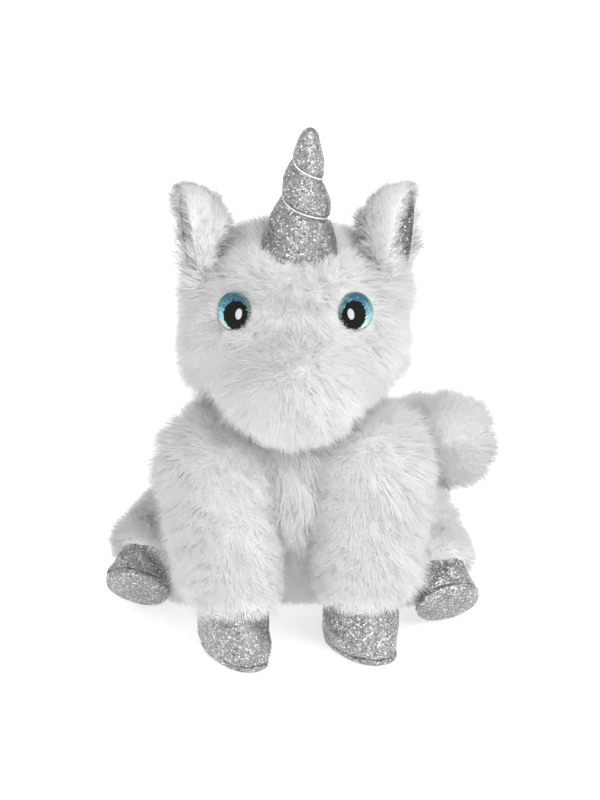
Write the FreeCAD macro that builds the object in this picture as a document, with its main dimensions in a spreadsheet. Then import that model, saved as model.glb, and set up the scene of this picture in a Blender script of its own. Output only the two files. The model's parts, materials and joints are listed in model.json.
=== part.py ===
"""Plush unicorn, sitting, with a stuffed horn and glitter-cloth hooves.

Millimetres. The origin is the centre of the flat base panel that the toy sits on.
+Z is up, the toy faces -Y, and its own left side is +X.
"""
import FreeCAD, Part
import math
import os

SIZES = (
    # cloth and clearances
    ("cover_thickness", 2.5),
    ("glitter_thickness", 1.2),
    ("pouch_thickness", 0.8),
    ("clearance", 0.5),
    ("link_inset", 0.4),
    # torso: three rounded masses in one cover
    ("rump_half_width", 44), ("rump_half_depth", 42), ("rump_half_height", 40),
    ("rump_y", 0), ("rump_z", 34),
    ("belly_half_width", 44), ("belly_half_depth", 40), ("belly_half_height", 42),
    ("belly_y", -24), ("belly_z", 60),
    ("chest_half_width", 41), ("chest_half_depth", 35), ("chest_half_height", 42),
    ("chest_y", -44), ("chest_z", 84),
    ("pouch_half_width", 20), ("pouch_half_depth", 18), ("pouch_half_height", 8),
    ("pouch_z", 12.5),
    ("stitch_count", 5), ("stitch_radius", 0.5), ("stitch_length", 6), ("stitch_step", 3),
    ("stitch_start_z", 57),
    # neck
    ("neck_radius", 20), ("neck_y", -48), ("neck_z", 122), ("head_gap", 9),
    ("thread_radius", 0.6), ("neck_thread_drop", 8),
    # head
    ("head_half_width", 47), ("head_half_depth", 43), ("head_half_height", 42),
    ("head_y", -52), ("head_z", 158),
    ("muzzle_half_width", 27), ("muzzle_half_depth", 26), ("muzzle_half_height", 24),
    ("muzzle_y", -88), ("muzzle_z", 140),
    ("gusset_half_width", 12),
    # eyes, on the head's surface
    ("eye_x", 28), ("eye_z", 173), ("eye_turn", 38), ("eye_tilt", 20),
    ("iris_half_width", 9.5), ("iris_half_height", 9), ("iris_thickness", 1.2),
    ("iris_sink", 0.6),
    ("pupil_half_width", 6.6), ("pupil_half_height", 7), ("pupil_thickness", 0.6),
    ("pupil_inward", 2.6), ("pupil_drop", 1.8),
    ("highlight_half_width", 2), ("highlight_half_height", 3.1), ("highlight_thickness", 0.5),
    ("highlight_inward", 5), ("highlight_drop", 2.2), ("eye_seat_reach", 40),
    # horn
    ("horn_x", 2), ("horn_y", -56), ("horn_z", 192), ("horn_ball_radius", 16),
    ("horn_base_radius", 14.8), ("horn_base_rise", 6), ("horn_tip_radius", 4.2),
    ("horn_length", 62), ("horn_lean", 5), ("horn_mouth_flare", 3), ("horn_mouth_height", 12),
    ("horn_thread_start", 13.2), ("horn_thread_pitch", 19), ("horn_thread_turns", 2),
    ("horn_thread_turn", 90),
    # ears
    ("ear_x", 48), ("ear_y", -50), ("ear_z", 179), ("ear_length", 43), ("ear_foot", 7),
    ("ear_middle", 13), ("ear_half_width", 17), ("ear_depth", 20), ("ear_lean", 7),
    ("ear_swing", 25), ("ear_turn_left", 68), ("ear_turn_right", 78),
    # front legs
    ("shoulder_x", 34), ("shoulder_y", -68), ("shoulder_z", 92), ("shoulder_radius", 23),
    ("front_ankle_radius", 19),
    ("front_hoof_x_left", 31), ("front_hoof_x_right", -28.5),
    ("front_hoof_y_left", -79), ("front_hoof_y_right", -86),
    ("front_hoof_turn_left", -59), ("front_hoof_turn_right", -63),
    ("front_hoof_height", 29),
    ("front_sole_half_length_left", 24.5), ("front_sole_half_length_right", 25),
    ("front_sole_half_width_left", 13), ("front_sole_half_width_right", 12),
    ("front_top_radius", 16.5),
    ("front_swing_back", -4), ("front_swing_forward", 45),
    # hind legs
    ("hip_x", 48), ("hip_y", -12), ("hip_z", 27), ("thigh_radius", 27),
    ("shin_top_radius", 22), ("shin_end_radius", 15),
    ("hind_sole_x_left", 73), ("hind_sole_y_left", -56),
    ("hind_sole_x_right", -76), ("hind_sole_y_right", -38),
    ("hind_sole_radius", 16), ("hind_top_radius", 11), ("hind_hoof_length", 23),
    ("hind_hoof_dip", 38), ("hind_hoof_turn", 18), ("sole_thickness", 1.2),
    # tail
    ("tail_root_y", 38), ("tail_root_z", 45), ("tail_root_radius", 8),
    ("tail_bend_x", 22), ("tail_bend_y", 56), ("tail_bend_z", 51), ("tail_bend_radius", 11),
    ("tail_end_x", 74), ("tail_end_y", 24), ("tail_end_z", 64), ("tail_end_radius", 17),
    ("tail_swing_in", -8),
    # reach of the boxes that divide the covers
    ("tool_size", 400),
)

doc = FreeCAD.newDocument("PlushUnicorn")
sheet = doc.addObject("Spreadsheet::Sheet", "Sizes")
for row, (alias, value) in enumerate(SIZES, start=1):
    sheet.set("A%d" % row, alias)
    sheet.set("B%d" % row, str(value))
    sheet.setAlias("B%d" % row, alias)
doc.recompute()

Z_AXIS = FreeCAD.Vector(0, 0, 1)
COVER = "Sizes.cover_thickness"
GAP = "Sizes.clearance"
FAR = "Sizes.tool_size"
NEAR = "-Sizes.tool_size"
NODES = []


def size(alias):
    """One driving dimension, as a number."""
    return float(sheet.get(alias))


def vector(x, y, z):
    return FreeCAD.Vector(x, y, z)


def add(kind, **sizes):
    """A Part object whose sizes are expressions on the sheet."""
    item = doc.addObject(kind, kind.split("::")[1])
    for prop, expression in sizes.items():
        item.setExpression(prop, expression)
    return item


def place(item, base=(0, 0, 0), rotation=None):
    item.Placement = FreeCAD.Placement(vector(*base), rotation or FreeCAD.Rotation())
    return item


def carry(item, base, rotation):
    """Move a placed object on with a placement of its surroundings."""
    item.Placement = FreeCAD.Placement(vector(*base), rotation).multiply(item.Placement)
    return item


def placed_by(item, x="0", y="0", z="0"):
    """Bind an object's position to the sheet."""
    item.setExpression("Placement.Base.x", x)
    item.setExpression("Placement.Base.y", y)
    item.setExpression("Placement.Base.z", z)
    return item


def label(item, node):
    item.Label = node
    NODES.append(item)
    return item


def cut(base, *tools):
    """The base less each tool in turn."""
    for tool in tools:
        item = doc.addObject("Part::Cut", "Cut")
        item.Base = base
        item.Tool = tool
        base = item
    return base


def common(base, tool):
    item = doc.addObject("Part::Common", "Common")
    item.Base = base
    item.Tool = tool
    return item


def fuse(*items):
    if len(items) == 1:
        return items[0]
    item = doc.addObject("Part::MultiFuse", "Fusion")
    item.Shapes = list(items)
    return item


def ball(radius, x="0", y="0", z="0"):
    return placed_by(add("Part::Sphere", Radius=radius), x, y, z)


def ellipsoid(part, grow="0"):
    """One rounded mass of the torso or head, its surface moved out by the grow expression."""
    item = add(
        "Part::Ellipsoid",
        Radius1="Sizes.%s_half_height + %s" % (part, grow),
        Radius2="Sizes.%s_half_width + %s" % (part, grow),
        Radius3="Sizes.%s_half_depth + %s" % (part, grow),
    )
    return placed_by(item, y="Sizes.%s_y" % part, z="Sizes.%s_z" % part)


def slab(low, high):
    """A big box between two values of one axis; each corner is three expressions."""
    item = add(
        "Part::Box",
        Length="%s - (%s)" % (high[0], low[0]),
        Width="%s - (%s)" % (high[1], low[1]),
        Height="%s - (%s)" % (high[2], low[2]),
    )
    return placed_by(item, low[0], low[1], low[2])


def side_of(x_low, x_high):
    return slab((x_low, NEAR, NEAR), (x_high, FAR, FAR))


def below(z_high):
    return slab((NEAR, NEAR, NEAR), (FAR, FAR, z_high))


def link(start, start_radius, end, end_radius):
    """A cone from one point to another, to join two balls of those radii."""
    run = vector(*end) - vector(*start)
    item = add("Part::Cone", Radius1=start_radius, Radius2=end_radius)
    item.Height = run.Length
    return place(item, start, FreeCAD.Rotation(Z_AXIS, run))


def turned(items, pivot, axis, angle):
    """Carry placed objects round an axis through the pivot."""
    spin = FreeCAD.Placement(vector(0, 0, 0), FreeCAD.Rotation(vector(*axis), angle), vector(*pivot))
    for item in items:
        item.Placement = spin.multiply(item.Placement)
    return items


# ---------------------------------------------------------------- hooves

def frustum(foot_a, foot_b, top, height):
    """An oval cone standing on the local XY plane."""
    foot = add("Part::Ellipse", MajorRadius=foot_a, MinorRadius=foot_b)
    rim = placed_by(add("Part::Ellipse", MajorRadius=top, MinorRadius=top), z=height)
    item = doc.addObject("Part::Loft", "Loft")
    item.Sections = [foot, rim]
    item.Solid = True
    item.Ruled = True
    return item


def hoof(node, foot_a, foot_b, top, height, base, rotation):
    """Wall, sole and filling of one hoof, made upright and then carried to the foot."""
    less = " - Sizes.glitter_thickness"
    outline = frustum(foot_a, foot_b, top, height)
    room = frustum(foot_a + less, foot_b + less, top + less, height)
    sole_layer = below("Sizes.sole_thickness")
    wall = cut(cut(outline, room), sole_layer)
    place(label(wall, node + "_upper"), base, rotation)
    place(label(common(outline, sole_layer), node + "_sole"), base, rotation)
    place(label(cut(room, sole_layer), node + "_stuffing"), base, rotation)


# ---------------------------------------------------------------- limbs

def chain(points, radii, grow="0"):
    """Balls at the points, joined by cones whose rims stay just inside the balls."""
    items = []
    for here, point in enumerate(points):
        step = max(here, 1)
        along = vector(*points[step]) - vector(*points[step - 1])
        knuckle = add("Part::Sphere", Radius="%s + %s" % (radii[here], grow))
        items.append(place(knuckle, point, FreeCAD.Rotation(Z_AXIS, along)))
    for here in range(len(points) - 1):
        start_radius = "%s + %s - Sizes.link_inset" % (radii[here], grow)
        end_radius = "%s + %s - Sizes.link_inset" % (radii[here + 1], grow)
        items.append(link(points[here], start_radius, points[here + 1], end_radius))
    return items


def front_leg(side, sign):
    """Sleeve, stuffing and hoof of one front leg; returns the room it needs in the torso."""
    hoof_x = size("front_hoof_x_" + side)
    hoof_y = size("front_hoof_y_" + side)
    height = "Sizes.front_hoof_height"
    shoulder = (sign * size("shoulder_x"), size("shoulder_y"), size("shoulder_z"))
    ankle = (hoof_x, hoof_y, size("front_hoof_height"))
    radii = ("Sizes.shoulder_radius", "Sizes.front_ankle_radius")
    outer = cut(fuse(*chain((shoulder, ankle), radii)), below(height))
    inner = cut(fuse(*chain((shoulder, ankle), radii, "(-%s)" % COVER)), below(height))
    label(cut(outer, inner), "front_leg_%s_sleeve" % side)
    label(inner, "front_leg_%s_stuffing" % side)
    turn = FreeCAD.Rotation(Z_AXIS, size("front_hoof_turn_" + side))
    half_length = "Sizes.front_sole_half_length_" + side
    half_width = "Sizes.front_sole_half_width_" + side
    hoof("front_hoof_" + side, half_length, half_width, "Sizes.front_top_radius", height,
         (hoof_x, hoof_y, 0), turn)
    return shoulder, ankle, radii


def hind_leg(side, sign):
    """Haunch sleeve, stuffing and hoof of one hind leg; returns the hip's centre."""
    dip = math.radians(size("hind_hoof_dip"))
    turn = math.radians(size("hind_hoof_turn"))
    flat = math.cos(dip)
    toe = vector(sign * math.sin(turn) * flat, -math.cos(turn) * flat, -math.sin(dip))
    sole = vector(size("hind_sole_x_" + side), size("hind_sole_y_" + side),
                  size("hind_sole_radius") * flat)
    ankle = sole - toe * size("hind_hoof_length")
    hip = (sign * size("hip_x"), size("hip_y"), size("hip_z"))
    rotation = FreeCAD.Rotation(Z_AXIS, -toe)
    shape = ("Sizes.hind_sole_radius", "Sizes.hind_sole_radius",
             "Sizes.hind_top_radius", "Sizes.hind_hoof_length")
    hoof("hind_hoof_" + side, *shape, tuple(sole), rotation)
    outline = place(frustum(*shape), tuple(sole), rotation)
    layers = []
    for grow, floor in (("0", "0"), ("(-%s)" % COVER, COVER)):
        thigh = place(add("Part::Sphere", Radius="Sizes.thigh_radius + " + grow), hip)
        shin_end = place(add("Part::Sphere", Radius="Sizes.shin_end_radius + " + grow), tuple(ankle))
        shin = link(hip, "Sizes.shin_top_radius + " + grow, tuple(ankle),
                    "Sizes.shin_end_radius - Sizes.link_inset + " + grow)
        layers.append(cut(fuse(thigh, shin, shin_end), below(floor)))
    label(cut(layers[0], layers[1], outline), "hind_leg_%s_sleeve" % side)
    label(cut(layers[1], outline), "hind_leg_%s_stuffing" % side)
    return hip


def tail():
    """Cover and stuffing of the tail, which curves round to the toy's left."""
    points = [(0, size("tail_root_y"), size("tail_root_z"))]
    for spot in ("bend", "end"):
        points.append(tuple(size("tail_%s_%s" % (spot, axis)) for axis in "xyz"))
    radii = ["Sizes.tail_%s_radius" % spot for spot in ("root", "bend", "end")]
    outer = fuse(*chain(points, radii))
    inner = fuse(*chain(points, radii, "(-%s)" % COVER))
    label(cut(outer, inner), "tail_cover")
    label(inner, "tail_stuffing")
    return points, radii


# ---------------------------------------------------------------- torso

def swing_stops():
    """Angles about +X, just past a front leg's limits and between them, that the torso leaves room for."""
    back = size("front_swing_back") - 1
    forward = size("front_swing_forward") + 1
    return (-back, -forward / 3, -forward * 2 / 3, -forward)


def torso(shoulders, hips, tail_route):
    """Two side panels and a base panel round the stuffing and the bean pouch."""
    rooms = {}
    for wall in ("0", COVER):
        grow = "(%s + %s)" % (GAP, wall)
        tools = [ball("Sizes.neck_radius + " + grow, y="Sizes.neck_y", z="Sizes.neck_z"),
                 ellipsoid("head", "(Sizes.head_gap + %s)" % wall)]
        for shoulder, ankle, radii in shoulders:
            tools += chain((shoulder, ankle), radii, grow)
            for angle in swing_stops():
                leg = chain((shoulder, ankle), radii, grow)[1:]
                tools += turned(leg, shoulder, (1, 0, 0), angle)
        for hip in hips:
            tools.append(place(add("Part::Sphere", Radius="Sizes.thigh_radius + " + grow), hip))
        points, radii = tail_route
        tools += chain(points[:2], radii[:2], grow)
        inward = size("tail_swing_in") - 1
        tools += turned(chain(points[:2], radii[:2], grow)[1:], points[0], (0, 0, 1), inward)
        rooms[wall] = tools
    masses = ("rump", "belly", "chest")
    outer = cut(fuse(*[ellipsoid(mass) for mass in masses]), *rooms["0"])
    inner = cut(fuse(*[ellipsoid(mass, "(-%s)" % COVER) for mass in masses]), *rooms[COVER])
    floor = below("0")
    base_layer = below(COVER)
    shell = cut(outer, inner)
    label(cut(common(outer, base_layer), floor), "base_panel")
    sides = cut(shell, base_layer)
    label(common(sides, side_of("0", FAR)), "torso_panel_left")
    label(common(sides, side_of(NEAR, "0")), "torso_panel_right")
    pouch = pouch_layer("0")
    fill = pouch_layer("(-Sizes.pouch_thickness)")
    label(cut(cut(inner, base_layer), pouch), "torso_stuffing")
    label(cut(pouch, fill), "bean_pouch")
    label(fill, "bean_pellets")


def pouch_layer(grow):
    item = add(
        "Part::Ellipsoid",
        Radius1="Sizes.pouch_half_height + " + grow,
        Radius2="Sizes.pouch_half_width + " + grow,
        Radius3="Sizes.pouch_half_depth + " + grow,
    )
    return placed_by(item, z="Sizes.pouch_z")


def closing_stitches():
    """Short threads across the back seam, where the cover was filled and closed."""
    stitches = []
    for number in range(int(size("stitch_count"))):
        z = size("stitch_start_z") + number * size("stitch_step")
        rise = (z - size("rump_z")) / size("rump_half_height")
        y = size("rump_y") + size("rump_half_depth") * math.sqrt(1 - rise ** 2)
        stitch = add("Part::Cylinder", Radius="Sizes.stitch_radius", Height="Sizes.stitch_length")
        start = (-size("stitch_length") / 2, y + 2 * size("stitch_radius"), z)
        stitches.append(place(stitch, start, FreeCAD.Rotation(Z_AXIS, vector(1, 0, 0))))
    label(fuse(*stitches), "closing_stitches")


def neck():
    """The packed neck between torso and head, with the thread that gathers it."""
    label(ball("Sizes.neck_radius", y="Sizes.neck_y", z="Sizes.neck_z"), "neck_stuffing")
    thread = add(
        "Part::Torus",
        Radius1="sqrt(Sizes.neck_radius^2 - Sizes.neck_thread_drop^2) + Sizes.thread_radius * 1.1",
        Radius2="Sizes.thread_radius",
    )
    placed_by(thread, y="Sizes.neck_y", z="Sizes.neck_z - Sizes.neck_thread_drop")
    label(thread, "neck_seam_thread")


# ---------------------------------------------------------------- head

def oval(half_width, half_height, thickness, base, rotation):
    """A flat oval patch; local X is its width, local Y its height, local Z its thickness."""
    wide = size(half_width) >= size(half_height)
    longer, shorter = (half_width, half_height) if wide else (half_height, half_width)
    outline = add("Part::Ellipse", MajorRadius="Sizes." + longer, MinorRadius="Sizes." + shorter)
    spin = FreeCAD.Rotation(Z_AXIS, 0 if wide else 90)
    outline.Placement = FreeCAD.Placement(vector(*base), rotation.multiply(spin))
    item = doc.addObject("Part::Extrusion", "Extrusion")
    item.Base = outline
    item.DirMode = "Custom"
    item.Dir = rotation.multVec(Z_AXIS)
    item.Solid = True
    item.setExpression("LengthFwd", thickness)
    return item


def eye(side, sign):
    """Iris, pupil and highlight patches, stacked; returns the seat that they are sunk in."""
    x = sign * size("eye_x")
    across = x / size("head_half_width")
    up = (size("eye_z") - size("head_z")) / size("head_half_height")
    y = size("head_y") - size("head_half_depth") * math.sqrt(1 - across ** 2 - up ** 2)
    turn = math.radians(size("eye_turn"))
    tilt = math.radians(size("eye_tilt"))
    outward = vector(sign * math.sin(turn) * math.cos(tilt), -math.cos(turn) * math.cos(tilt),
                     math.sin(tilt))
    rotation = FreeCAD.Rotation(vector(1, 0, 0), Z_AXIS, outward, "ZYX")
    inward = rotation.multVec(vector(-sign, 0, 0))
    spot = vector(x, y, size("eye_z")) - outward * size("iris_sink")
    down = rotation.multVec(vector(0, -1, 0))
    for layer in ("iris", "pupil", "highlight"):
        base = spot
        if layer != "iris":
            base = spot + inward * size(layer + "_inward") + down * size(layer + "_drop")
        patch = oval(layer + "_half_width", layer + "_half_height",
                     "Sizes.%s_thickness" % layer, tuple(base), rotation)
        label(patch, "eye_%s_%s" % (layer, side))
        spot = spot + outward * size(layer + "_thickness")
    seat = vector(x, y, size("eye_z")) - outward * size("iris_sink")
    return oval("iris_half_width", "iris_half_height", "Sizes.eye_seat_reach", tuple(seat), rotation)


def head():
    """Two side panels and a middle gusset round the stuffing."""
    seats = fuse(eye("left", 1), eye("right", -1))
    layers = []
    for grow, wall in (("0", "0"), ("(-%s)" % COVER, COVER)):
        room = "(%s + %s)" % (GAP, wall)
        masses = fuse(ellipsoid("head", grow), ellipsoid("muzzle", grow))
        sockets = fuse(
            ball("Sizes.neck_radius + " + room, y="Sizes.neck_y", z="Sizes.neck_z"),
            ball("Sizes.horn_ball_radius + " + room, "Sizes.horn_x", "Sizes.horn_y", "Sizes.horn_z"),
            horn_mouth(room),
            seats,
        )
        layers.append(cut(masses, sockets))
    cover = cut(layers[0], layers[1])
    gusset = "Sizes.gusset_half_width"
    label(common(cover, side_of(gusset, FAR)), "head_panel_left")
    label(common(cover, side_of(NEAR, "-" + gusset)), "head_panel_right")
    label(common(cover, side_of("-" + gusset, gusset)), "head_gusset")
    label(layers[1], "head_stuffing")


def horn_mouth(room):
    """The widening above the horn's socket, which lets the horn lean."""
    item = add(
        "Part::Cone",
        Radius1="Sizes.horn_ball_radius - Sizes.clearance + " + room,
        Radius2="Sizes.horn_ball_radius + Sizes.horn_mouth_flare + " + room,
        Height="Sizes.horn_mouth_height",
    )
    return placed_by(item, "Sizes.horn_x", "Sizes.horn_y", "Sizes.horn_z")


def horn():
    """Glitter-cloth cone on a rounded root, with the thread wound round it."""
    base = (size("horn_x"), size("horn_y"), size("horn_z"))
    rotation = FreeCAD.Rotation(vector(0, 1, 0), size("horn_lean"))
    inside = "(-Sizes.glitter_thickness)"
    place(label(cut(horn_layer("0"), horn_layer(inside)), "horn_cover"), base, rotation)
    place(label(horn_layer(inside), "horn_stuffing"), base, rotation)
    carry(label(horn_thread(), "horn_thread"), base, rotation)


def horn_layer(grow):
    """The upright horn as one solid, its surface moved out by the grow expression."""
    tip = "Sizes.horn_tip_radius + " + grow
    cone_height = "Sizes.horn_length - Sizes.horn_tip_radius - Sizes.horn_base_rise"
    cone = add("Part::Cone", Radius1="Sizes.horn_base_radius + " + grow, Radius2=tip,
               Height=cone_height)
    placed_by(cone, z="Sizes.horn_base_rise")
    root = ball("Sizes.horn_ball_radius + " + grow)
    end = ball(tip, z="Sizes.horn_length - Sizes.horn_tip_radius")
    return fuse(root, cone, end)


def horn_thread():
    """A thread down the cone's taper, which starts and ends at the back."""
    run = size("horn_length") - size("horn_tip_radius") - size("horn_base_rise")
    taper = (size("horn_base_radius") - size("horn_tip_radius")) / run
    start = size("horn_thread_start")
    lift = size("thread_radius") * 1.1
    radius = size("horn_base_radius") - taper * (start - size("horn_base_rise")) + lift
    helix = add("Part::Helix", Pitch="Sizes.horn_thread_pitch",
                Height="Sizes.horn_thread_pitch * Sizes.horn_thread_turns")
    helix.Radius = radius
    helix.Angle = -math.degrees(math.atan(taper))
    helix.LocalCoord = "Left-handed"
    section = add("Part::Circle", Radius="Sizes.thread_radius")
    place(section, (radius, 0, 0), FreeCAD.Rotation(Z_AXIS, vector(0, 1, 0)))
    doc.recompute()
    sweep = doc.addObject("Part::Sweep", "Sweep")
    sweep.Sections = [section]
    sweep.Spine = (helix, ["Edge%d" % (n + 1) for n in range(len(helix.Shape.Edges))])
    sweep.Solid = True
    sweep.Frenet = True
    knot = place(add("Part::Sphere", Radius="Sizes.thread_radius"), (radius, 0, 0))
    turn = FreeCAD.Rotation(Z_AXIS, size("horn_thread_turn"))
    return place(fuse(sweep, knot), (0, 0, start), turn)


def ear(side, sign):
    """A cupped back and its glitter lining; the foot clears the head over the ear's swing."""
    lean = math.radians(size("ear_lean"))
    turn = math.radians(size("ear_turn_" + side))
    up = vector(sign * math.sin(lean), 0, math.cos(lean))
    opening = vector(sign * math.sin(turn), -math.cos(turn), 0)
    rotation = FreeCAD.Rotation(vector(1, 0, 0), -opening, up, "ZYX")
    base = (sign * size("ear_x"), size("ear_y"), size("ear_z"))
    hinge = tuple(rotation.multVec(vector(1, 0, 0)))
    swing = size("ear_swing")
    heads = []
    for angle in (-swing, 0, swing):
        heads += turned([ellipsoid_at_rest("head", "Sizes.clearance * 2")], base, hinge, angle)
    head_room = fuse(*heads)
    layers = []
    for depth in ("0", COVER, "(%s + Sizes.glitter_thickness)" % COVER):
        layers.append(placed_by(add(
            "Part::Ellipsoid",
            Radius1="Sizes.ear_length - Sizes.ear_middle - " + depth,
            Radius2="Sizes.ear_half_width - " + depth,
            Radius3="Sizes.ear_depth - " + depth,
        ), z="Sizes.ear_middle"))
    half = slab((NEAR, "0", "-Sizes.ear_foot"), (FAR, FAR, FAR))
    for node, outer, inner in (("ear_back_", 0, 1), ("ear_lining_", 1, 2)):
        cup = place(common(cut(layers[outer], layers[inner]), half), base, rotation)
        label(cut(cup, head_room), node + side)


def ellipsoid_at_rest(part, grow):
    """Like ellipsoid(), but with its position free to be turned afterwards."""
    item = ellipsoid(part, grow)
    for axis in "xyz":
        item.setExpression("Placement.Base." + axis, None)
    return place(item, (0, size(part + "_y"), size(part + "_z")))


# ---------------------------------------------------------------- the toy

SIDES = (("left", 1), ("right", -1))
shoulders = [front_leg(side, sign) for side, sign in SIDES]
hips = [hind_leg(side, sign) for side, sign in SIDES]
torso(shoulders, hips, tail())
closing_stitches()
neck()
head()
horn()
for side, sign in SIDES:
    ear(side, sign)
doc.recompute()

for item in doc.Objects:
    if "Invalid" in item.State or "Error" in item.State:
        raise RuntimeError("%s (%s) did not compute: %s" % (item.Name, item.Label, item.State))
for item in NODES:
    if item.Shape.isNull() or not item.Shape.isValid():
        raise RuntimeError("%s has no valid shape" % item.Label)

os.makedirs("parts", exist_ok=True)
for item in NODES:
    item.Shape.exportStep("parts/%s.step" % item.Label)
    print("%-26s %3d solid(s) %9.1f mm3" % (item.Label, len(item.Shape.Solids), item.Shape.Volume))
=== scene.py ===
"""The plush unicorn's looks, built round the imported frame. Metres, +Z up, facing -Y."""
import bmesh
import bpy
import json
import math
import numpy as np
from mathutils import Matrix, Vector
from mathutils.bvhtree import BVHTree
from mathutils.kdtree import KDTree


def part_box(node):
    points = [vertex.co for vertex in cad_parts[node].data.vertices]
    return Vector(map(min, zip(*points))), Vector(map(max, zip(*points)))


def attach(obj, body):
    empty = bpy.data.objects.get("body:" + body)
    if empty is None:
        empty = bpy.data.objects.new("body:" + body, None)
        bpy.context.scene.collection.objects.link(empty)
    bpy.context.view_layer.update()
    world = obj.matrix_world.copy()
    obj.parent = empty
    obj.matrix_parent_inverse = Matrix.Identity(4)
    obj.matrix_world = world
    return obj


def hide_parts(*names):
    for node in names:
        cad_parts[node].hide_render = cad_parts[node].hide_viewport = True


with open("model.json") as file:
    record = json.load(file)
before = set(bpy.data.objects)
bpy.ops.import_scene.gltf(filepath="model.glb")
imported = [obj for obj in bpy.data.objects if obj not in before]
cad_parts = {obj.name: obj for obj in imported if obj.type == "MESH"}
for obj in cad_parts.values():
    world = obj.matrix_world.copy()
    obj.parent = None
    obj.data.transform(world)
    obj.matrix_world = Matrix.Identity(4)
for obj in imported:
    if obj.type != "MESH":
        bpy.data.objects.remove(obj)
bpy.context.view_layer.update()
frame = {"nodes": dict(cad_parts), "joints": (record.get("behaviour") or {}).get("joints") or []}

MM = 0.001
NODES = frame["nodes"]
JOINTS = {joint["name"]: joint for joint in frame["joints"]}
UP = np.array((0.0, 0.0, 1.0))
SIDE_SIGNS = (("left", 1), ("right", -1))
LIMBS = ("front_leg_left", "front_leg_right", "hind_leg_left", "hind_leg_right")


# ---------------------------------------------------------------- frame readings

def pivot(joint):
    """A joint's point at rest."""
    return np.array(JOINTS[joint]["pos_m"], float)


def unit(v):
    """Vectors of length one, for one vector or a row of them."""
    v = np.asarray(v, float)
    return v / np.maximum(np.linalg.norm(v, axis=-1, keepdims=True), 1e-12)


def box_of(*nodes):
    """Lowest and highest corner of several nodes together."""
    lows, highs = zip(*[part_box(node) for node in nodes])
    return np.array(lows).min(0), np.array(highs).max(0)


# ---------------------------------------------------------------- meshes

def new_object(name, verts, faces):
    """A smooth-shaded object in the scene from vertices and faces."""
    mesh = bpy.data.meshes.new(name)
    mesh.from_pydata([tuple(v) for v in verts], [], [tuple(f) for f in faces])
    mesh.update()
    mesh.shade_smooth()
    return linked(name, mesh)


def linked(name, data):
    """An object in the scene that shows this mesh, camera or light."""
    item = bpy.data.objects.new(name, data)
    bpy.context.scene.collection.objects.link(item)
    return item


def modified(item, kind, **settings):
    """Add a modifier with these settings and make its result the object's own mesh."""
    modifier = item.modifiers.new(kind.title(), kind)
    for key, value in settings.items():
        setattr(modifier, key, value)
    apply_modifiers(item)
    return item


def apply_modifiers(item):
    """Make the mesh that the modifiers give the object's own."""
    graph = bpy.context.evaluated_depsgraph_get()
    mesh = bpy.data.meshes.new_from_object(item.evaluated_get(graph))
    old = item.data
    item.modifiers.clear()
    item.data = mesh
    mesh.name = item.name
    bpy.data.meshes.remove(old)


def joined_copy(name, nodes):
    """One new object with the meshes of these CAD nodes."""
    work = bmesh.new()
    for node in nodes:
        work.from_mesh(NODES[node].data)
    mesh = bpy.data.meshes.new(name)
    work.to_mesh(mesh)
    work.free()
    return linked(name, mesh)


def cloth_skin(name, nodes, voxel, smoothing, pressure=2.0, most=3.0 * MM):
    """A sewn cover over these solids: remeshed as one surface, relaxed, then inflated as cloth."""
    item = joined_copy(name, nodes)
    modified(item, "REMESH", mode="VOXEL", voxel_size=voxel)
    modified(item, "SMOOTH", factor=0.5, iterations=smoothing)
    inflate(item, pressure, most)
    item.data.shade_smooth()
    return item


def inflate(item, pressure, most, frames=12):
    """Let the filling press the cloth out for a few frames, no point moving further than most."""
    before = read_points(item.data)
    cloth = item.modifiers.new("Cloth", "CLOTH")
    cloth.settings.use_pressure = True
    cloth.settings.uniform_pressure_force = pressure
    cloth.settings.quality = 4
    cloth.settings.effector_weights.gravity = 0
    cloth.collision_settings.use_self_collision = False
    scene = bpy.context.scene
    for number in range(1, frames + 1):
        scene.frame_set(number)
    apply_modifiers(item)
    scene.frame_set(1)
    after = read_points(item.data)
    moved = after - before
    reach = np.linalg.norm(moved, axis=1, keepdims=True)
    write_points(item.data, before + moved * np.minimum(1, most / np.maximum(reach, 1e-9)))


def read_points(mesh):
    """A mesh's vertices as rows of an array."""
    points = np.empty(len(mesh.vertices) * 3, np.float32)
    mesh.vertices.foreach_get("co", points)
    return points.reshape(-1, 3).astype(float)


def write_points(mesh, points):
    """Put a mesh's vertices at the rows of an array."""
    mesh.vertices.foreach_set("co", np.asarray(points, np.float32).ravel())
    mesh.update()


def tree_of(*items):
    """One ray-casting tree over several objects' meshes."""
    points, faces, start = [], [], 0
    for item in items:
        item.data.calc_loop_triangles()
        points += [v.co for v in item.data.vertices]
        faces += [[start + v for v in tri.vertices] for tri in item.data.loop_triangles]
        start = len(points)
    return BVHTree.FromPolygons(points, faces)


# ---------------------------------------------------------------- pile

class Wander:
    """A smooth vector noise over space, from a few seeded waves."""

    def __init__(self, seed, wavelength, waves=7):
        rng = np.random.default_rng(seed)
        heading = unit(rng.normal(size=(waves, 3)))
        self.waves = heading * (2 * math.pi / (wavelength * rng.uniform(0.6, 1.6, (waves, 1))))
        self.phase = rng.uniform(0, 2 * math.pi, (waves, 3))
        self.scale = math.sqrt(2 / waves)

    def __call__(self, points):
        total = np.zeros_like(points)
        for wave, phase in zip(self.waves, self.phase):
            total += np.sin((points @ wave)[:, None] + phase)
        return total * self.scale


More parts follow.
